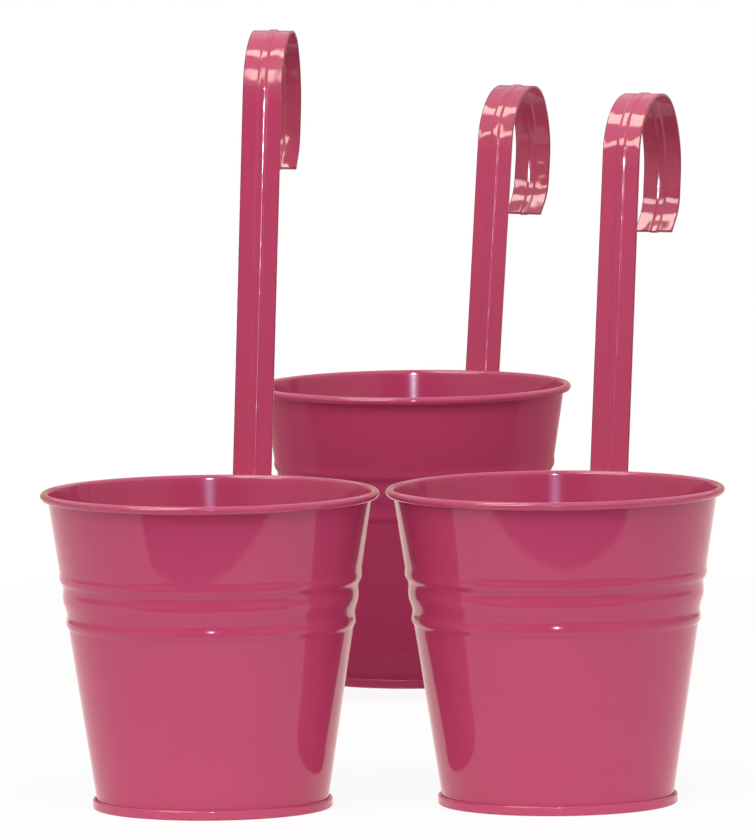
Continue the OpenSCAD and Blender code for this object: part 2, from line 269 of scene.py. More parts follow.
def sheet_outline(line, thickness, edge, rolled_above=None):
    """Closed outline of a sheet along a line of stations, with rounded edges at both ends."""
    # Corners on the rolled rim are marked worked; the pale tone that this gives them there is a painted
    # highlight.
    sides = [[Corner(s.across - side * cos(s.heading) * thickness / 2,
                     s.up + side * sin(s.heading) * thickness / 2,
                     0 if rolled_above is None or s.up < rolled_above else ROLL_WORK_AND_HIGHLIGHT)
              for s in line[1:-1]] for side in (1, -1)]
    return (sides[0] + end_corners(line[-1], 1, thickness, edge)
            + sides[1][::-1] + end_corners(line[0], -1, thickness, edge))


def fill(mesh, rows, closed):
    """Fills between rows of vertices with four-cornered faces; closed rows meet their own start."""
    for row, following in zip(rows, rows[1:]):
        for j in range(len(row) if closed else len(row) - 1):
            k = (j + 1) % len(row)
            mesh.faces.new((row[j], row[k], following[k], following[j]))


def skin(rings, worked, closed, bent=None):
    """A mesh over rings of points of equal count; worked marks where sheet was cut, rolled or bent."""
    mesh = bmesh.new()
    mark = mesh.verts.layers.float.new("worked")
    rows = []
    for ring, least in zip(rings, bent or [0] * len(rings)):
        row = [mesh.verts.new(point) for point in ring]
        for vert, share in zip(row, worked):
            vert[mark] = max(share, least)
        rows.append(row)
    fill(mesh, rows + rows[:1] if closed else rows, True)
    if not closed:
        for row in (rows[0], rows[-1]):
            for vert in row:
                vert[mark] = 1
            mesh.faces.new(row)
    return mesh


def revolved(outline, steps, stray=lambda turn, up: 0):
    """A mesh of an outline turned round the upright axis; stray moves a point outwards."""
    rings = []
    for turn in spread(0, tau, steps)[:-1]:
        ring = []
        for corner in outline:
            radius = corner.across + stray(turn, corner.up)
            ring.append((radius * sin(turn), radius * cos(turn), corner.up))
        rings.append(ring)
    return skin(rings, [corner.worked for corner in outline], True)


def mesh_data(name, mesh):
    """Mesh data from a mesh that isn't needed any more."""
    data = bpy.data.meshes.new(name)
    mesh.to_mesh(data)
    mesh.free()
    return data


def linked(name, data):
    """A new object in the scene."""
    item = bpy.data.objects.new(name, data)
    bpy.context.scene.collection.objects.link(item)
    return item


def add_piece(planter, kind, meshes, material, node, carrier="_planter", shift=Vector()):
    """Makes one piece of a planter from its meshes, in its place, to stand for a node of the frame."""
    name, body = planter + kind, planter + carrier
    whole = bmesh.new()
    for part in meshes:
        data = mesh_data(name, part)
        whole.from_mesh(data)
        bpy.data.meshes.remove(data)
    bmesh.ops.remove_doubles(whole, verts=whole.verts, dist=WELD)
    place = Matrix.Translation(shift) @ planter_place(planter)
    bmesh.ops.transform(whole, matrix=place, verts=whole.verts)
    bmesh.ops.recalc_face_normals(whole, faces=whole.faces)
    for face in whole.faces:
        face.smooth = True
    data = mesh_data(name, whole)
    data.materials.append(material)
    piece = linked(name, data)
    even = piece.modifiers.new("Even shading", "WEIGHTED_NORMAL")
    even.keep_sharp = True
    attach(piece, body)
    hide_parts(planter + node)


# The pail's section and the hook's course.

class Shape:
    """Sizes and places worked out from the settings, all in a planter's own frame."""

    SEAT_GAP = 0.06 * MM
    FOLD_END_GAP = 0.2 * MM
    FOOT_BEND = 0.6 * MM
    PANEL_BEND = 1.3 * MM
    NECK = 0.6 * MM
    NECK_BEND = 3 * MM
    CURL_TURN = radians(300)
    SLIDE_GAP = 0.4 * MM
    RIM_GAP = 0.4 * MM
    STOP_GAP = 0.3 * MM
    LIP_BEND = 0.8 * MM
    LIP_LENGTH = 3 * MM
    KEEPER_DROP = 1.5 * MM
    KEEPER_BEND = 0.5 * MM
    REAR_HEADING = radians(147)
    BACK_HEADING = radians(189)
    TIP_HEADING = radians(225)
    RIB_FLANK_SHARE = 0.28
    FLANK_SHARES = (0.11, 0.165, 0.245, 0.21, 0.13, 0.14)
    STAND_SHARES = (0, 0.8, -0.25, 0.5, -0.4, 0.6, 0)

    def __init__(self, scene):
        pail, hook, keeper = scene.planter_pail, scene.planter_hook, scene.planter_keeper
        self.pail, self.hook, self.keeper = pail, hook, keeper
        self.layer = pail.sheet + self.SEAT_GAP
        self.wall_r = pail.base_width / 2 - pail.sheet / 2
        self.low_fold = pail.sheet + self.SEAT_GAP + self.layer + pail.sheet / 2
        self.high_fold = pail.seam_height - pail.sheet / 2 - self.layer
        self.neck = pail.seam_height + self.NECK
        self.curl_r = (pail.rim_tube - pail.sheet) / 2
        self.curl_x = pail.rim_width / 2 - pail.rim_tube / 2
        self.curl_z = pail.height - pail.rim_tube / 2
        run, climb = self.curl_x - self.wall_r, self.curl_z - self.neck
        self.lean = atan2(run, climb) - asin(self.curl_r / hypot(run, climb))
        self.band_top = self.slope_at(pail.height - pail.bead_drop)
        self.band_low = self.slope_at(pail.height - pail.bead_drop - pail.bead_band)
        self.set_keepers()
        self.set_hook()

    def set_keepers(self):
        """Where the keepers lie and how far the strap stands off the wall."""
        hook, keeper, pail = self.hook, self.keeper, self.pail
        self.seat = pail.sheet / 2 + self.SEAT_GAP
        self.strap_out = (self.curl_r + pail.rim_tube / 2 + self.RIM_GAP + hook.rib_height
                          + hook.thickness / 2)
        self.slot_half = hook.width / 2 + self.SLIDE_GAP
        self.bridge = self.strap_out + hook.thickness / 2 + self.SLIDE_GAP
        self.ear_reach = self.slot_half + keeper.thickness + keeper.ear
        self.rivet_side = self.slot_half + keeper.thickness + keeper.ear / 2
        self.keeper_up = {
            "upper": (self.band_top + self.slope_at(pail.height - pail.rim_tube)) / 2,
            "lower": self.band_low - self.KEEPER_DROP - keeper.height / 2,
        }

    def set_hook(self):
        """Where the strap ends at its foot and where its three bends are."""
        hook = self.hook
        self.lip_r = self.LIP_BEND + hook.thickness / 2
        catch = max(self.LIP_BEND - self.SLIDE_GAP, 0)
        fall = sqrt(self.LIP_BEND ** 2 - catch ** 2)
        self.foot_up = self.keeper_up["lower"] - self.keeper.height / 2 - self.STOP_GAP + fall
        top = self.pail.height + hook.rise - hook.rib_height - hook.thickness / 2
        self.front_z = top - hook.front_bend
        rise = self.front_z - self.neck + (hook.front_bend + self.strap_out) * sin(self.lean)
        self.shoulder_up = rise / cos(self.lean)
        self.front_y = self.side(self.shoulder_up, self.strap_out)[0] + hook.front_bend * cos(self.lean)
        self.rear_z = top - hook.rear_bend
        slack = hook.rear_bend - hook.back_bend
        self.back_y = self.front_y - slack * cos(self.REAR_HEADING)
        self.back_z = self.rear_z + slack * sin(self.REAR_HEADING)
        slack = hook.back_bend - hook.tip_bend
        along, up = sin(self.BACK_HEADING), cos(self.BACK_HEADING)
        self.tip_y = self.back_y - slack * up + hook.back_length * along
        self.tip_z = self.back_z + slack * along + hook.back_length * up
        self.twist_low = self.slope_at(self.pail.height) + self.foot_up

    def slope_at(self, height):
        """Distance up the wall's slope at a height."""
        return (height - self.neck) / cos(self.lean)

    def side(self, up, out):
        """Point on the wall's middle line: a distance up the slope and a distance out from it."""
        return (self.wall_r + up * sin(self.lean) + out * cos(self.lean),
                self.neck + up * cos(self.lean) - out * sin(self.lean))

    def flank(self, i):
        """One flank of a bead, a smooth step from one stand-out to the next."""
        band = self.band_top - self.band_low
        low = self.band_low + band * sum(self.FLANK_SHARES[:i])
        rise = band * self.FLANK_SHARES[i]
        start = self.pail.bead_depth * self.STAND_SHARES[i]
        step = self.pail.bead_depth * (self.STAND_SHARES[i + 1] - self.STAND_SHARES[i])
        stations = []
        for j in range(FLANK_STEPS):
            t = j / FLANK_STEPS
            across, up = self.side(low + rise * t, start + step * smooth(t))
            tilt = atan(step * pi / 2 * sin(pi * t) / rise)
            stations.append(Station(across, up, self.lean + tilt))
        return stations

    def wall_line(self):
        """The wall: from the hook in the seam, up the side and round the rim."""
        end = Station(self.wall_r + 2 * self.layer, self.high_fold - self.FOLD_END_GAP, pi)
        fold = bend(self.wall_r + self.layer, self.low_fold, self.layer, -pi, 0, FOLD_STEPS)
        neck = bend(self.wall_r + self.NECK_BEND, self.neck, self.NECK_BEND, 0, self.lean, EDGE_STEPS)
        beads = [station for i in range(len(self.FLANK_SHARES)) for station in self.flank(i)]
        beads.append(Station(*self.side(self.band_top, 0), self.lean))
        curl = bend(self.curl_x, self.curl_z, self.curl_r, self.lean, self.lean + self.CURL_TURN,
                    BEND_STEPS)
        return [end] + joined(fold, neck, beads, curl)

    def pan_line(self):
        """The base: from the drain hole out, down inside the wall and round the seam."""
        sheet = self.pail.sheet
        start = Station(self.pail.drain / 2, self.pail.recess + sheet / 2, pi / 2)
        panel = bend(self.wall_r - self.layer - self.PANEL_BEND,
                     self.pail.recess + sheet / 2 - self.PANEL_BEND, self.PANEL_BEND,
                     pi / 2, pi, FOLD_STEPS)
        inner = bend(self.wall_r - self.layer + self.FOOT_BEND, sheet / 2 + self.FOOT_BEND,
                     self.FOOT_BEND, pi, pi / 2, FOLD_STEPS, -1)
        outer = bend(self.wall_r + 3 * self.layer - self.FOOT_BEND, sheet / 2 + self.FOOT_BEND,
                     self.FOOT_BEND, pi / 2, 0, FOLD_STEPS, -1)
        fold = bend(self.wall_r + 2 * self.layer, self.high_fold, self.layer, 0, -pi, FOLD_STEPS, -1)
        end = Station(self.wall_r + self.layer, self.low_fold + self.FOLD_END_GAP, -pi)
        return joined([start], panel, inner, outer, fold) + [end]

    def strap_line(self):
        """Stations of the strap from its bent foot up and over to the tip, with shares of the twist."""
        hook = self.hook
        foot = self.side(self.foot_up, self.strap_out + self.lip_r)
        lip = self.side(self.foot_up - self.lip_r, self.strap_out + self.lip_r + self.LIP_LENGTH)
        level = self.lean - pi / 2
        held = joined([Station(*lip, level)],
                      self.strap_bend(*foot, self.lip_r, level, self.lean),
                      [Station(*self.side(self.twist_low, self.strap_out), self.lean)])
        free = [Station(*self.side(up, self.strap_out), self.lean)
                for up in spread(self.twist_low, self.shoulder_up, TWIST_STEPS)[1:-1]]
        runs = (
            self.strap_bend(self.front_y, self.front_z, hook.front_bend, self.lean, pi / 2),
            self.strap_bend(self.front_y, self.rear_z, hook.rear_bend, pi / 2, self.REAR_HEADING)[1:],
            self.strap_bend(self.back_y, self.back_z, hook.back_bend, self.REAR_HEADING,
                            self.BACK_HEADING)[1:],
            self.strap_bend(self.tip_y, self.tip_z, hook.tip_bend, self.BACK_HEADING, self.TIP_HEADING),
        )
        bent = runs[0] + runs[1] + joined(runs[2], runs[3])
        bent = joined(bent, [moved(bent[-1], hook.tip_length)])
        line = [(station, 0) for station in held]
        line += [(station, smooth((i + 1) / TWIST_STEPS)) for i, station in enumerate(free)]
        return line + [(station, 1) for station in bent]

    @staticmethod
    def strap_bend(across, up, radius, start, end):
        """A bend of the strap, with a ring at least every few degrees."""
        return bend(across, up, radius, start, end, ceil((end - start) / STRAP_TURN))

    def rib_side(self, side):
        """One flank of the strap's bead: up at its left side, down at its right."""
        flank = self.hook.rib_width * self.RIB_FLANK_SHARE
        stations = []
        for t in spread(0, 1, RIB_STEPS)[::-side]:
            rate = self.hook.rib_height * pi / 2 / flank * sin(pi * t)
            stations.append(Station(self.hook.rib_height * smooth(t),
                                    side * (self.hook.rib_width / 2 - flank * t), -side * atan(rate)))
        return stations

    def strap_ring(self, inset):
        """Section of the strap, drawn in all round by an inset."""
        hook = self.hook
        half = hook.width / 2 - inset
        line = joined([Station(0, -half, 0)], self.rib_side(-1), self.rib_side(1), [Station(0, half, 0)])
        return sheet_outline(line, hook.thickness - 2 * inset, max(hook.edge - inset, LEAST_EDGE))

    def twisted(self, turn):
        """A turn about the straight strap's middle line."""
        foot = Vector((0, *self.side(0, self.strap_out)))
        axis = Vector((0, sin(self.lean), cos(self.lean)))
        return Matrix.Translation(foot) @ Matrix.Rotation(-turn, 4, axis) @ Matrix.Translation(-foot)


def moved(station, along):
    """A station moved along its own heading."""
    return Station(station.across + along * sin(station.heading),
                   station.up + along * cos(station.heading), station.heading)


def end_steps(edge):
    """How far back from a swept piece's end, and how far in, the rings lie that round it off."""
    return [(edge * (1 - cos(turn)), edge * (1 - sin(turn))) for turn in spread(0, pi / 2, EDGE_STEPS)]


# Straps, keepers and rivets.

def swept_strap(shape, twist):
    """The strap's section swept along its line, with its cut ends rounded off."""
    line = shape.strap_line()
    steps = end_steps(shape.hook.edge)
    courses = [(moved(line[0][0], back), line[0][1], inset) for back, inset in steps]
    courses += [(station, share, 0) for station, share in line[1:-1]]
    courses += [(moved(line[-1][0], -back), line[-1][1], inset) for back, inset in steps[::-1]]
    rings = []
    for station, share, inset in courses:
        turn = shape.twisted(twist * share)
        rings.append([turn @ Vector((c.up, station.across - cos(station.heading) * c.across,
                                     station.up + sin(station.heading) * c.across))
                      for c in shape.strap_ring(inset)])
    return skin(rings, [corner.worked for corner in shape.strap_ring(0)], False,
                [BEND_WORK * int(share == 1) for station, share, inset in courses])


def keeper_strip(shape, up):
    """The strip's bent section at each height, from its lower edge to its upper."""
    keeper = shape.keeper
    edge = keeper.thickness * KEEPER_EDGE_SHARE
    half = keeper.height / 2
    rows = [(-half + back, inset) for back, inset in end_steps(edge)]
    rows += [((half - edge) * sin(turn), 0) for turn in spread(-pi / 2, pi / 2, KEEPER_STEPS)[1:-1]]
    rows += [(half - back, inset) for back, inset in end_steps(edge)[::-1]]
    rings = []
    for rise, inset in rows:
        outline = keeper_section(shape, up + rise, rise, inset)
        height = shape.side(up + rise, 0)[1]
        ear = ear_level(shape, up + rise)
        ring = []
        for corner in outline:
            back = max(corner.up - ear, 0) * sin(shape.lean)
            ring.append((corner.across, corner.up - back * sin(shape.lean),
                         height - back * cos(shape.lean)))
        rings.append(ring)
    return skin(rings, [corner.worked for corner in outline], False)


def ear_level(shape, up):
    """How far out from the pail's axis the ears leave the wall at a height."""
    keeper = shape.keeper
    radius = shape.side(up, 0)[0] + (shape.seat + keeper.thickness) / cos(shape.lean)
    return sqrt(radius ** 2 - (shape.slot_half + keeper.thickness) ** 2)


def keeper_section(shape, up, rise, inset):
    """Level section of the strip: ear, leg, bridge, leg and ear, drawn in by an inset."""
    keeper = shape.keeper
    sheet = keeper.thickness
    end_r = keeper.height / 2
    middle = shape.side(up, 0)[0]
    ear_r = middle + (shape.seat + sheet / 2) / cos(shape.lean)
    bridge_y = middle + (shape.bridge + sheet / 2) / cos(shape.lean)
    leg = shape.slot_half + sheet / 2
    turn_r = shape.KEEPER_BEND + sheet / 2
    reach = shape.ear_reach - end_r + sqrt(max(end_r ** 2 - rise ** 2, 0)) - inset
    root = -asin((leg + turn_r) / (ear_r + turn_r))
    ear = [Station(ear_r * sin(turn), ear_r * cos(turn), pi / 2 + turn)
           for turn in spread(-asin(reach / ear_r), root, EAR_STEPS)]
    heel = bend(-leg - turn_r, (ear_r + turn_r) * cos(root), turn_r, pi / 2 + root, 0, EDGE_STEPS, -1)
    crown = bend(-leg + turn_r, bridge_y - turn_r, turn_r, 0, pi / 2, EDGE_STEPS)
    half = ear + joined(heel[1:], crown)
    mirrored = [Station(-s.across, s.up, pi - s.heading) for s in half[::-1]]
    return sheet_outline(joined(half, mirrored), sheet - 2 * inset,
                         max(sheet / 2 - inset, LEAST_EDGE))


def rivet(shape, up, swing):
    """One rivet: a domed head outside, a shank and a flat tail inside the pail."""
    keeper = shape.keeper
    head = shape.seat + keeper.thickness
    radius = keeper.head_width / 2
    ball = (radius ** 2 + keeper.head_height ** 2) / (2 * keeper.head_height)
    rim = asin(radius / ball)
    edge = keeper.tail_height * TAIL_EDGE_SHARE
    tail = keeper.tail_width / 2
    dome = [Corner(ball * sin(a), head + keeper.head_height - ball + ball * cos(a), 0)
            for a in spread(0, rim, FOLD_STEPS)]
    shank = [Corner(keeper.rivet / 2, head, 0), Corner(keeper.rivet / 2, -shape.seat, 0)]
    end = -shape.seat - keeper.tail_height
    foot = [Corner(tail, -shape.seat, 0)]
    foot += [Corner(tail - edge + edge * cos(a), end + edge - edge * sin(a), 0)
             for a in spread(0, pi / 2, EDGE_STEPS)]
    mesh = revolved(dome + shank + foot + [Corner(0, end, 0)], RIVET_STEPS)
    across, height = shape.side(up, 0)
    place = (Matrix.Rotation(-swing, 4, "Z") @ Matrix.Translation((0, across, height))
             @ Matrix.Rotation(-shape.lean, 4, "X") @ Matrix.Rotation(-pi / 2, 4, "X"))
    bmesh.ops.transform(mesh, matrix=place, verts=mesh.verts)
    return mesh


# Enamels.

def add_node(tree, kind, inputs=None, **settings):
    """Adds a node with its settings; each input is a value or the socket that feeds it."""
    node = tree.nodes.new(kind)
    for name, value in settings.items():
        setattr(node, name, value)
    for name, value in (inputs or {}).items():
        if isinstance(value, bpy.types.NodeSocket):
            tree.links.new(value, node.inputs[name])
        else:
            node.inputs[name].default_value = value
    return node


def emptied(owner):
    """A new material or world without its first nodes, and its node tree."""
    owner.use_nodes = True
    owner.node_tree.nodes.clear()
    return owner, owner.node_tree


def per_mm(size):
    """Scale of a noise whose spots are that many millimetres wide."""
    return 1 / (size * MM)


def limits(side, pair):
    """The limits of a range node on its From or its To side."""
    return {side + " Min": pair[0], side + " Max": pair[1]}


# Enamel stoved at about 150 degrees is a hard alkyd or polyester film.
ENAMEL_IOR = 1.48
# Spots of orange peel and clouds in the coat's depth.
PEEL_MM = 2.2
CLOUD_MM = 28
# Between these values of the clouds the pale tone over worked metal goes from its faintest to its
# strongest, as a thinner coat on cut edges and bends and as a painted highlight on the rolled rim; the
# coat also goes from its glossiest to its dullest.
PALE_CLOUDS = (0.35, 0.65)
DULL_CLOUDS = (0.3, 0.7)
# Least share of the pale tone over worked metal: thin coat at cut edges and bends, painted highlight on
# the rolled rim.
LEAST_PALE_SHARE = 1 / 3
# Slow waves of the metal under the coat, in millimetres: how wide, and how high where it is plain
# and where it was worked.
SHEET_WAVE = (14, 0.012, 0.2)
STRAP_WAVE = (7, 0.08, 2.0)
# The pale primer shows through where the coat draws thin over worked metal; on the rolled rim the same
# pale tone is a painted highlight.
PRIMER_AND_HIGHLIGHT = "#E0988F"


def enamel(name, kind, deep, peel, wave, rough, wear_and_highlight):
    """Sprayed and stoved enamel: a glossy coat whose orange peel shows only in its reflections."""
    if name in bpy.data.materials:
        return bpy.data.materials[name]
    paint = getattr(bpy.context.scene.planter_paint, kind)
    material, tree = emptied(bpy.data.materials.new(name))
    place = add_node(tree, "ShaderNodeTexCoord").outputs["Object"]
    cloud = add_node(tree, "ShaderNodeTexNoise",
                     {"Vector": place, "Scale": per_mm(CLOUD_MM), "Detail": 2.0}).outputs["Fac"]
    bulge = add_node(tree, "ShaderNodeTexNoise",
                     {"Vector": place, "Scale": per_mm(wave[0]), "Detail": 0.0}).outputs["Fac"]
    spots = add_node(tree, "ShaderNodeTexNoise", {"Vector": place, "Scale": per_mm(PEEL_MM),
                                                  "Detail": 1.0, "Roughness": 0.4}).outputs["Fac"]
    worked = add_node(tree, "ShaderNodeAttribute", attribute_name="worked").outputs["Fac"]
    coat = add_node(tree, "ShaderNodeMix",
                    {"Factor": cloud, "A": list(paint), "B": [c * deep for c in paint[:3]] + [1]},
                    data_type="RGBA")
    patchy = add_node(tree, "ShaderNodeMapRange", {"Value": cloud, **limits("From", PALE_CLOUDS),
                                                   **limits("To", (wear_and_highlight * LEAST_PALE_SHARE, wear_and_highlight))})
    # Share of the pale tone: thin coat on cut edges and bends, painted highlight on the rolled rim.
    thin_and_highlight = add_node(tree, "ShaderNodeMath", {0: worked, 1: patchy.outputs["Result"]},
                    operation="MULTIPLY")
    worn_and_highlight = add_node(tree, "ShaderNodeMix",
                    {"Factor": thin_and_highlight.outputs[0], "A": coat.outputs["Result"], "B": linear(PRIMER_AND_HIGHLIGHT)},
                    data_type="RGBA")
    gloss = add_node(tree, "ShaderNodeMapRange",
                     {"Value": cloud, **limits("From", DULL_CLOUDS), **limits("To", rough)})
    height = add_node(tree, "ShaderNodeMapRange",
                      {"Value": worked, **limits("To", (wave[1] * MM, wave[2] * MM))})
    swell = add_node(tree, "ShaderNodeBump",
                     {"Height": bulge, "Distance": height.outputs["Result"]})
    relief = add_node(tree, "ShaderNodeBump",
                      {"Height": spots, "Distance": peel * MM, "Normal": swell.outputs["Normal"]})
    shader = add_node(tree, "ShaderNodeBsdfPrincipled",
                      {"Base Color": worn_and_highlight.outputs["Result"], "Roughness": gloss.outputs["Result"],
                       "IOR": ENAMEL_IOR, "Normal": relief.outputs["Normal"]})
    add_node(tree, "ShaderNodeOutputMaterial", {"Surface": shader.outputs["BSDF"]})
    return material


def wall_enamel():
    """Thick glossy coat on rolled sheet: smooth, with a fine even peel, and paler on the rolled rim as a
    painted highlight.
    """
    return enamel("fuchsia_enamel_on_rolled_sheet", "wall", deep=0.96, peel=0.006, wave=SHEET_WAVE,
                  rough=(0.05, 0.07), wear_and_highlight=0.35)


def strap_enamel():
    """Coat on bent strap: a little thinner, glossier and paler along the cut edges and in the bends."""
    return enamel("fuchsia_enamel_on_bent_strap", "strap", deep=0.95, peel=0.008, wave=STRAP_WAVE,
                  rough=(0.06, 0.09), wear_and_highlight=0.4)


def base_enamel():
    """Coat on the pressed base: a little duller, because it is scuffed when the pail is set down."""
    return enamel("fuchsia_enamel_on_pressed_base", "base", deep=0.95, peel=0.008, wave=SHEET_WAVE,
                  rough=(0.08, 0.14), wear_and_highlight=0.3)


def rivet_enamel():
    """Coat pooled over rivet heads: soft-edged and very glossy."""
    return enamel("fuchsia_enamel_over_rivets", "rivet", deep=0.95, peel=0.006, wave=SHEET_WAVE,
                  rough=(0.05, 0.08), wear_and_highlight=0.2)


# Operators, one for each group of like pieces.

class PieceMaker:
    """What the operators share: each makes its kind of piece for one planter after the other."""

    def execute(self, context):
        shape = Shape(context.scene)
        for planter in PLANTERS:
            self.add(shape, planter)
        return {"FINISHED"}


class PLANTER_OT_pail_walls(PieceMaker, bpy.types.Operator):
    """Make the rolled and beaded wall of each pail"""
    bl_idname = "planter.pail_walls"
    bl_label = "Pail Walls"

    def add(self, shape, planter):
        outline = sheet_outline(shape.wall_line(), shape.pail.sheet, shape.pail.sheet / 2,
                                shape.curl_z - shape.curl_r)
        shift = WAVE_SHIFT * PLANTERS.index(planter)

        def stray(turn, up):
            """How far the thin sheet strays outwards; nothing at the rim and the seam."""
            hold = sin(pi * min(max(up / shape.pail.height, 0), 1)) ** 2
            few = sin(FEW_WAVES * turn + shift)
            many = sin(MANY_WAVES * turn + 2 * shift + up / WAVE_RISE)
            return shape.pail.waviness * hold * (few + many) / 2

        add_piece(planter, "_pail", [revolved(outline, ROUND_STEPS, stray)], wall_enamel(),
                  "_pail_wall")


class PLANTER_OT_bases(PieceMaker, bpy.types.Operator):
    """Make the recessed base that is seamed to each wall"""
    bl_idname = "planter.bases"
    bl_label = "Bases"

    def add(self, shape, planter):
        outline = sheet_outline(shape.pan_line(), shape.pail.sheet, shape.pail.sheet / 2)
        add_piece(planter, "_base", [revolved(outline, ROUND_STEPS)], base_enamel(),
                  "_base_pan")


class PLANTER_OT_hooks(PieceMaker, bpy.types.Operator):
    """Make the ribbed strap of each hook"""
    bl_idname = "planter.hooks"
    bl_label = "Hooks"

    def add(self, shape, planter):
        axis, way = hook_slide(planter)
        add_piece(planter, "_hook", [swept_strap(shape, TWISTS[planter])], strap_enamel(),
                  "_hook_strap", "_hook", -axis * way)


class PLANTER_OT_keepers(PieceMaker, bpy.types.Operator):
    """Make the two strips on each wall that a hook slides in"""
    bl_idname = "planter.keepers"
    bl_label = "Keepers"

    def add(self, shape, planter):
        for level in LEVELS:
            add_piece(planter, "_keeper_" + level, [keeper_strip(shape, shape.keeper_up[level])],
                      strap_enamel(), "_" + level + "_keeper")


class PLANTER_OT_rivets(PieceMaker, bpy.types.Operator):
    """Make the rivets that hold the keepers"""
    bl_idname = "planter.rivets"
    bl_label = "Rivets"

    def add(self, shape, planter):
        for level in LEVELS:
            up = shape.keeper_up[level]
            swing = asin(shape.rivet_side / shape.side(up, shape.seat)[0])
            pair = [rivet(shape, up, side * swing) for side in (-1, 1)]
            add_piece(planter, "_rivets_" + level, pair, rivet_enamel(),
                      "_" + level + "_rivets")


# Studio.

# The photograph's frame and the long lens that fits it.
IMAGE_HEIGHT_PX = 840
FOCAL_PX = 14694
SENSOR = 36
CAMERA_PLACE = (-0.00225, -7.2, 0.82285)
CAMERA_PITCH = 0.0926
CAMERA_ROLL = -0.0098

# The floor that the camera sees, whose part near the group lights it from below.
FLOOR_RADIUS = 14
FLOOR_DROP = 0.1 * MM
FLOOR_GLOW_SHARE = 0.9
FLOOR_BOUNCE_RADIUS = 0.75
# From the floor up lie the room's floor, the table top and the cloths, one lift apart.
CARD_LIFT = 0.04 * MM

# The table top that only the gloss sees, whose near edge swells in the middle and has two wings.
TABLE_MIDDLE = 0.035
TABLE_FRONT = -0.652
TABLE_BACK = 1.7
TABLE_HALF = 0.365
TABLE_SWELL = 0.067
TABLE_WING = 0.32
TABLE_REACH = 2.2
TABLE_LEVEL = 1.15

# The room round it, with what its floor and walls fade between.
WALL_RADIUS = 9
WALL_HEIGHT = 3.6
WALL_STEPS = 128
WALL_FADE = (-0.98 * WALL_RADIUS, -0.80 * WALL_RADIUS)
SHADE_FADE = (1.0, 1.6)

# The cloths before the rear planter.
FLAG_HEIGHT = 0.15
FLAG_FLAP_SHARE = 0.6
FLAG_STEPS = 48

# The panes, the lamps and the flash with its glow.
PANE_STEPS = 20
PANE_FADE = 0.4
PANE_TONE = "#FFF8E4"
HOOK_MIDDLE = Vector((0, 0, 0.3))
LAMP_AIM = Vector((0, -0.3, 0.2))
FLASH_WIDTH = 0.05
FLASH_DISTANCE = 7
FLASH_ABOVE = 15.2
GLOW_SPAN = 0.62
GLOW_ABOVE = 12
WHITE = "#FFFFFF"


def toward(left, above):
    """The direction that many degrees to the left of the camera's side and above the floor."""
    az, el = radians(left), radians(above)
    return Vector((-sin(az) * cos(el), -cos(az) * cos(el), sin(el)))


def seen_at(left, above, distance):
    """Place at a distance from the hooks in that direction."""
    return HOOK_MIDDLE + toward(left, above) * distance


# Corners of the two panes that the bends of the hooks show as two rows of bars.
WINDOW_CORNERS = (seen_at(15, 27, 6), seen_at(57, 12, 6), seen_at(57, 27, 6), seen_at(15, 52, 6))
CEILING_CORNERS = ((-0.3, -1.8, 6.3), (-4.5, -1.8, 6.3), (-4.5, 0.7, 6.3), (-0.3, 0.7, 6.3))


def add_card(name, mesh, material):
    """Makes a piece of the studio from a mesh."""
    data = mesh_data(name, mesh)
    data.materials.append(material)
    card = linked(name, data)
    return card


def seen_ray(tree):
    """1 for the rays that show a background: camera, glossy and transmission rays."""
    path = add_node(tree, "ShaderNodeLightPath")
    gloss = add_node(tree, "ShaderNodeMath",
                     {0: path.outputs["Is Camera Ray"], 1: path.outputs["Is Glossy Ray"]},
                     operation="MAXIMUM")
    return add_node(tree, "ShaderNodeMath",
                    {0: gloss.outputs[0], 1: path.outputs["Is Transmission Ray"]},
                    operation="MAXIMUM").outputs[0]


def floor_paint(name, code, share):
    """A matt floor that shows that share of plain white where it is seen."""
    material, tree = emptied(bpy.data.materials.new(name))
    pale = add_node(tree, "ShaderNodeBsdfDiffuse", {"Color": linear(code)})
    glow = add_node(tree, "ShaderNodeEmission", {"Color": linear(WHITE)})
    part = add_node(tree, "ShaderNodeMath", {0: seen_ray(tree), 1: share}, operation="MULTIPLY")
    mix = add_node(tree, "ShaderNodeMixShader",
                   {0: part.outputs[0], 1: pale.outputs["BSDF"], 2: glow.outputs["Emission"]})
    add_node(tree, "ShaderNodeOutputMaterial", {"Surface": mix.outputs["Shader"]})
    return material


def cloth_paint(name, code, share):
    """A cloth that lets the rest of the light through, but not in reflections."""
    material, tree = emptied(bpy.data.materials.new(name))
    cloth = add_node(tree, "ShaderNodeBsdfDiffuse", {"Color": linear(code)})
    gap = add_node(tree, "ShaderNodeBsdfTransparent")
    path = add_node(tree, "ShaderNodeLightPath")
    part = add_node(tree, "ShaderNodeMath", {0: path.outputs["Is Glossy Ray"], 1: share},
                    operation="MAXIMUM")
    mix = add_node(tree, "ShaderNodeMixShader",
                   {0: part.outputs[0], 1: gap.outputs["BSDF"], 2: cloth.outputs["BSDF"]})
    add_node(tree, "ShaderNodeOutputMaterial", {"Surface": mix.outputs["Shader"]})
    return material


def glowing(material, tree, tone, level):
    """Finishes a card's paint; its tone and level are values or the sockets that feed them."""
    glow = add_node(tree, "ShaderNodeEmission", {"Color": tone, "Strength": level})
    add_node(tree, "ShaderNodeOutputMaterial", {"Surface": glow.outputs["Emission"]})
    return material


def table_paint():
    """The table's top: pale, warm and even."""
    return glowing(*emptied(bpy.data.materials.new("table_card")), linear("#FFE7E2"), TABLE_LEVEL)


def pane_paint(name, code, level):
    """Light that follows the pane's own shares."""
    material, tree = emptied(bpy.data.materials.new(name))
    light = add_node(tree, "ShaderNodeAttribute", attribute_name="pane_light")
    strength = add_node(tree, "ShaderNodeMath", {0: light.outputs["Fac"], 1: level}, operation="MULTIPLY")
    return glowing(material, tree, linear(code), strength.outputs[0])


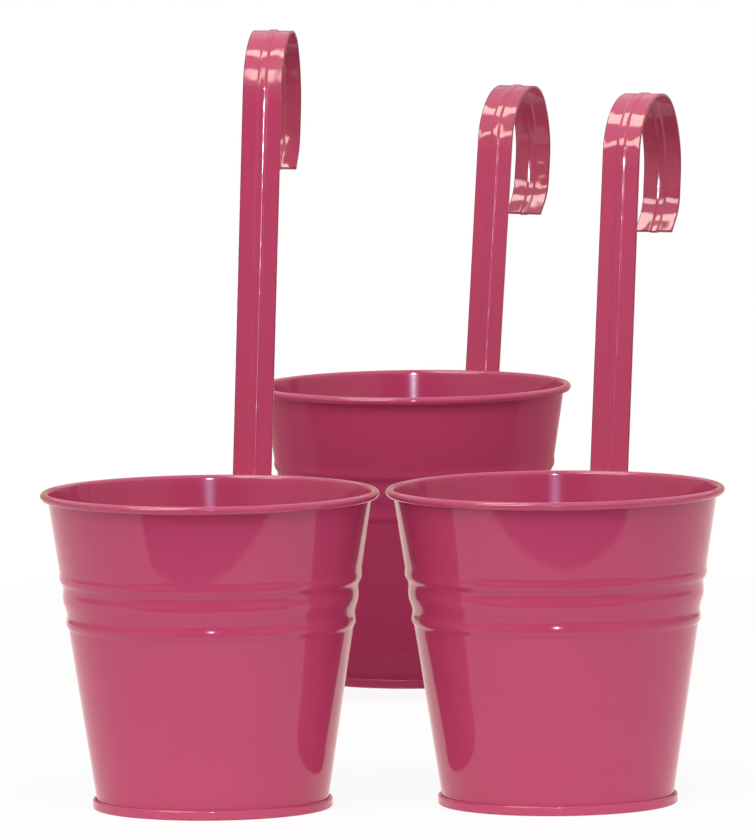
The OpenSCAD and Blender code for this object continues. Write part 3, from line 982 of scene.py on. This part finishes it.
def shaded_paint(name, measure, fade, first, last):
    """A card whose tone goes smoothly from one to another as its LENGTH from the middle, or its
    DOT_PRODUCT with the Y axis, passes two limits."""
    material, tree = emptied(bpy.data.materials.new(name))
    place = add_node(tree, "ShaderNodeTexCoord").outputs["Object"]
    value = add_node(tree, "ShaderNodeVectorMath", {0: place, 1: (0, 1, 0)}, operation=measure)
    share = add_node(tree, "ShaderNodeMapRange",
                     {"Value": value.outputs["Value"], **limits("From", fade)},
                     interpolation_type="SMOOTHSTEP")
    tone = add_node(tree, "ShaderNodeMix",
                    {"Factor": share.outputs["Result"], "A": linear(first), "B": linear(last)},
                    data_type="RGBA")
    return glowing(material, tree, tone.outputs["Result"], 1.0)


def room_floor_paint():
    """The room's floor: dark in the table's shade, paler further from the middle."""
    return shaded_paint("room_card", "LENGTH", SHADE_FADE, "#585260", "#B09A8C")


def room_wall_paint():
    """The room's walls: dark round the camera, warm and pale at the sides and behind, along Y."""
    return shaded_paint("room_wall", "DOT_PRODUCT", WALL_FADE, "#46322E", "#C8B09A")


def add_lamp(name, shape, size, energy, code, left, above, distance):
    """An area lamp in that direction, facing the group and unseen by the camera."""
    data = bpy.data.lights.new(name, "AREA")
    data.shape = shape
    data.size, data.size_y = size
    data.energy = energy
    data.color = linear(code)[:3]
    away = toward(left, above)
    lamp = linked(name, data)
    lamp.matrix_world = (Matrix.Translation(LAMP_AIM + away * distance)
                         @ away.to_track_quat("Z", "Y").to_matrix().to_4x4())
    lamp.visible_camera = False
    return lamp


def add_panel(name, level, code, left, above, distance, size):
    """A soft panel of an even brightness, where 1 is white; the gloss doesn't show it."""
    energy = level * pi * size[0] * size[1]
    add_lamp(name, "RECTANGLE", size, energy, code, left, above, distance).visible_glossy = False


def add_flash(level):
    """The small flash above the camera, which only the gloss shows, as sharp white glints."""
    energy = level * pi * FLASH_DISTANCE ** 2
    add_lamp("flash", "DISK", (FLASH_WIDTH, FLASH_WIDTH), energy, "#E6EAFF", 0, FLASH_ABOVE,
             FLASH_DISTANCE).visible_diffuse = False


def add_camera(scene):
    """The photograph's view: far off, a little above, through a long lens."""
    data = bpy.data.cameras.new("photo_camera")
    data.sensor_width = SENSOR
    data.lens = FOCAL_PX / IMAGE_HEIGHT_PX * SENSOR
    data.clip_end = 2 * FLOOR_RADIUS
    camera = linked("photo_camera", data)
    camera.matrix_world = (Matrix.Translation(CAMERA_PLACE)
                           @ Matrix.Rotation(pi / 2 - CAMERA_PITCH, 4, "X")
                           @ Matrix.Rotation(CAMERA_ROLL, 4, "Z"))
    scene.camera = camera


def flat_ring(name, inner, outer, height, material):
    """A flat ring round the origin, or a disc where the inner radius is nothing."""
    mesh = bmesh.new()
    turns = spread(0, tau, ROUND_STEPS)[:-1]
    rows = [[mesh.verts.new((radius * cos(turn), radius * sin(turn), height)) for turn in turns]
            for radius in (outer, inner) if radius]
    if inner:
        fill(mesh, rows, True)
    else:
        mesh.faces.new(rows[0])
    return add_card(name, mesh, material)


def add_floor():
    """A pale floor with soft shadows near the group; the floor beyond sends little light back."""
    flat_ring("near_floor", 0, FLOOR_BOUNCE_RADIUS, -FLOOR_DROP,
              floor_paint("near_floor", "#F8F7F6", FLOOR_GLOW_SHARE))
    flat_ring("far_floor", FLOOR_BOUNCE_RADIUS, FLOOR_RADIUS, -FLOOR_DROP,
              floor_paint("far_floor", "#6A6462", 1))


def add_cards(levels):
    """What only the gloss sees: a table top, the room's floor and walls, and bright panes."""
    cards = (
        table(2 * CARD_LIFT - FLOOR_DROP),
        flat_ring("room_card", 0, WALL_RADIUS, CARD_LIFT - FLOOR_DROP, room_floor_paint()),
        room_wall(),
        pane("window_card", WINDOW_CORNERS, PANE_TONE, levels.panes, PANE_FADE),
        pane("ceiling_card", CEILING_CORNERS, PANE_TONE, levels.panes, PANE_FADE),
        flash_glow(levels.glow),
    )
    for card in cards:
        for ray in ("camera", "diffuse", "transmission", "volume_scatter", "shadow"):
            setattr(card, "visible_" + ray, False)


def table(height):
    """A table top whose front edge swells towards the group in the middle and has two wings."""
    mesh = bmesh.new()
    rows = []
    for x in spread(-TABLE_REACH, TABLE_REACH, ROUND_STEPS):
        off = abs(x - TABLE_MIDDLE)
        edge = TABLE_FRONT + TABLE_SWELL * min(off / TABLE_HALF, 1) ** 2
        edge -= TABLE_WING * max(off - TABLE_HALF, 0)
        rows.append([mesh.verts.new((x, y, height)) for y in (edge, TABLE_BACK)])
    fill(mesh, rows, False)
    return add_card("table_card", mesh, table_paint())


def room_wall():
    """A wall all round, with its own tone before, beside and behind the group."""
    mesh = bmesh.new()
    turns = spread(0, tau, WALL_STEPS)[:-1]
    rows = [[mesh.verts.new((WALL_RADIUS * sin(turn), -WALL_RADIUS * cos(turn), z))
             for turn in turns] for z in (0, WALL_HEIGHT)]
    fill(mesh, rows, True)
    return add_card("room_wall", mesh, room_wall_paint())


def pane(name, corners, code, level, fade):
    """A bright four-cornered pane whose light fades out towards its edges."""
    mesh = bmesh.new()
    light = mesh.verts.layers.float.new("pane_light")
    first, second, third, fourth = (Vector(corner) for corner in corners)
    rows = []
    for v in spread(0, 1, PANE_STEPS):
        row = []
        for u in spread(0, 1, PANE_STEPS):
            row.append(mesh.verts.new(first.lerp(second, u).lerp(fourth.lerp(third, u), v)))
            row[-1][light] = min(1, sin(pi * u) * sin(pi * v) / fade)
        rows.append(row)
    fill(mesh, rows, False)
    return add_card(name, mesh, pane_paint(name, code, level))


def flash_glow(level):
    """The violet haze that the inside of each pail mirrors as a soft upright streak."""
    x, y, z = LAMP_AIM + toward(0, GLOW_ABOVE) * FLASH_DISTANCE
    corners = [(x + right * GLOW_SPAN, y, z + up * GLOW_SPAN)
               for right, up in ((-1, -1), (1, -1), (1, 1), (-1, 1))]
    return pane("flash_glow", corners, "#A9B8FF", level, 1)


def add_flag(name, radius, turn, code, share):
    """A curved cloth before the rear planter, which shades it as near neighbours would."""
    middle = planter_place("rear").translation
    foot = 3 * CARD_LIFT - FLOOR_DROP
    mesh = bmesh.new()
    rows = [[mesh.verts.new((middle.x + reach * sin(a), middle.y - reach * cos(a), z))
             for a in spread(-radians(turn), radians(turn), FLAG_STEPS)]
            for reach, z in ((FLAG_FLAP_SHARE * radius, foot), (radius, foot), (radius, FLAG_HEIGHT))]
    fill(mesh, rows, False)
    add_card(name, mesh, cloth_paint(name, code, share)).visible_camera = False


def add_lamps(levels):
    """A broad soft key in front, a window lamp at the left and a small flash."""
    add_panel("key_panel", levels.key, "#FFF6EE", left=0, above=58, distance=3.2, size=(2.6, 1.6))
    add_panel("window_panel", levels.window, "#FFF0E2", left=40, above=38, distance=3, size=(1.6, 1.6))
    add_flash(levels.flash)


def add_sky(scene):
    """White where it is seen, and a plain even light for everything else."""
    scene.world, tree = emptied(bpy.data.worlds.new("studio_sky"))
    level = add_node(tree, "ShaderNodeMapRange",
                     {"Value": seen_ray(tree), **limits("To", (scene.planter_studio.ambient, 1.0))})
    sky = add_node(tree, "ShaderNodeBackground",
                   {"Color": linear(WHITE), "Strength": level.outputs["Result"]})
    add_node(tree, "ShaderNodeOutputWorld", {"Surface": sky.outputs["Background"]})


class PLANTER_OT_studio(bpy.types.Operator):
    """Make the camera, floor, reflection cards, lamps and sky"""
    bl_idname = "planter.studio"
    bl_label = "Studio"

    def execute(self, context):
        levels = context.scene.planter_studio
        add_camera(context.scene)
        add_floor()
        add_cards(levels)
        add_flag("front_flag", radius=0.10, turn=58, code="#8A3050", share=0.25)
        add_flag("wide_flag", radius=0.12, turn=140, code="#F0C8C0", share=0.3)
        add_lamps(levels)
        add_sky(context.scene)
        context.scene.view_settings.view_transform = "Standard"
        return {"FINISHED"}


# Panel, registration and the run itself.

OPERATORS = (PLANTER_OT_pail_walls, PLANTER_OT_bases, PLANTER_OT_hooks, PLANTER_OT_keepers,
             PLANTER_OT_rivets, PLANTER_OT_studio)


class PLANTER_PT_sidebar(bpy.types.Panel):
    """Lists the pieces that can be made"""
    bl_idname = "PLANTER_PT_sidebar"
    bl_label = "Pail Planters"
    bl_space_type = "VIEW_3D"
    bl_region_type = "UI"
    bl_category = "Planters"

    def draw(self, context):
        for operator in OPERATORS:
            self.layout.operator(operator.bl_idname)
        for group in GROUPS:
            box = self.layout.box()
            settings = getattr(context.scene, group)
            for name in settings.__annotations__:
                box.prop(settings, name)


CLASSES = tuple(GROUPS.values()) + OPERATORS + (PLANTER_PT_sidebar,)


def register():
    for kind in CLASSES:
        bpy.utils.register_class(kind)
    for name, group in GROUPS.items():
        setattr(bpy.types.Scene, name, PointerProperty(type=group))


def unregister():
    for name in GROUPS:
        delattr(bpy.types.Scene, name)
    for kind in reversed(CLASSES):
        bpy.utils.unregister_class(kind)


def main():
    register()
    bpy.ops.planter.pail_walls()
    bpy.ops.planter.bases()
    bpy.ops.planter.hooks()
    bpy.ops.planter.keepers()
    bpy.ops.planter.rivets()
    bpy.ops.planter.studio()


if __name__ == "__main__":
    main()
